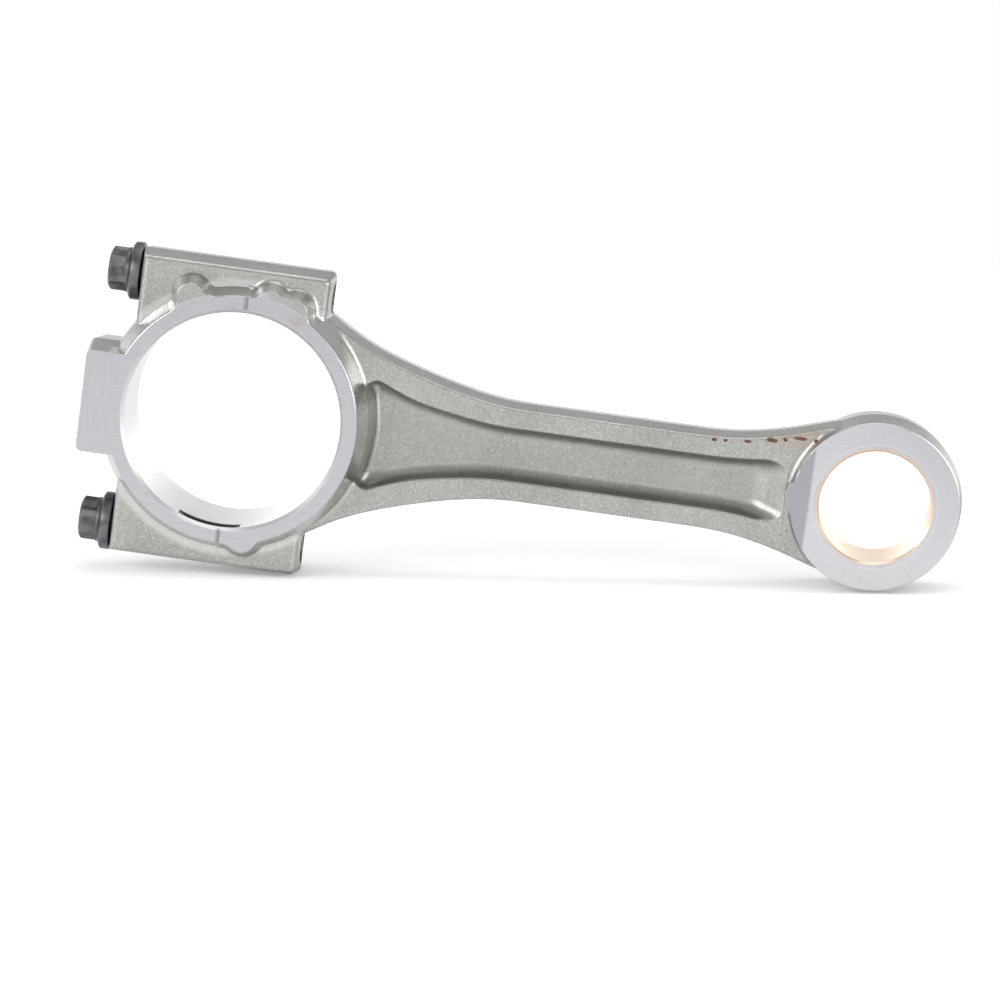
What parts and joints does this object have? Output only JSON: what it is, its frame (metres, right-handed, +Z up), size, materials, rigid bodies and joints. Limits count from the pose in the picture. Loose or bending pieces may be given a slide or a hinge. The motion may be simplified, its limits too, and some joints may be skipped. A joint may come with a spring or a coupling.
{
  "type": "connecting rod",
  "caption": "Connecting rod with an I-beam shank, a bolted big-end cap and a bushed wedge-shaped small end; links a gudgeon pin to a crankpin.",
  "frame": {"origin": "centre of the big-end bore, at mid-thickness", "axes": "+X along the rod from big end to small end, +Y along both bores, +Z up across the rod"},
  "size_m": [0.3016, 0.04, 0.1068],
  "materials": {
    "forged_steel": "shot-blasted forging with ground faces",
    "bolt_steel": "black oxide",
    "bronze": "turned"
  },
  "bodies": {
    "rod": {"rod": "forged_steel", "small_end_bush": "bronze"},
    "cap": {"cap": "forged_steel"},
    "upper_bolt": {"upper_bolt": "bolt_steel"},
    "lower_bolt": {"lower_bolt": "bolt_steel"}
  },
  "joints": [
    {"name": "cap_slide", "type": "slide", "parent": "rod", "child": "cap", "axis": [-1, 0, 0], "range_m": [0, 0.06]},
    {"name": "upper_bolt_slide", "type": "slide", "parent": "cap", "child": "upper_bolt", "axis": [-1, 0, 0], "range_m": [0, 0.07]},
    {"name": "lower_bolt_slide", "type": "slide", "parent": "cap", "child": "lower_bolt", "axis": [-1, 0, 0], "range_m": [0, 0.07]}
  ]
}
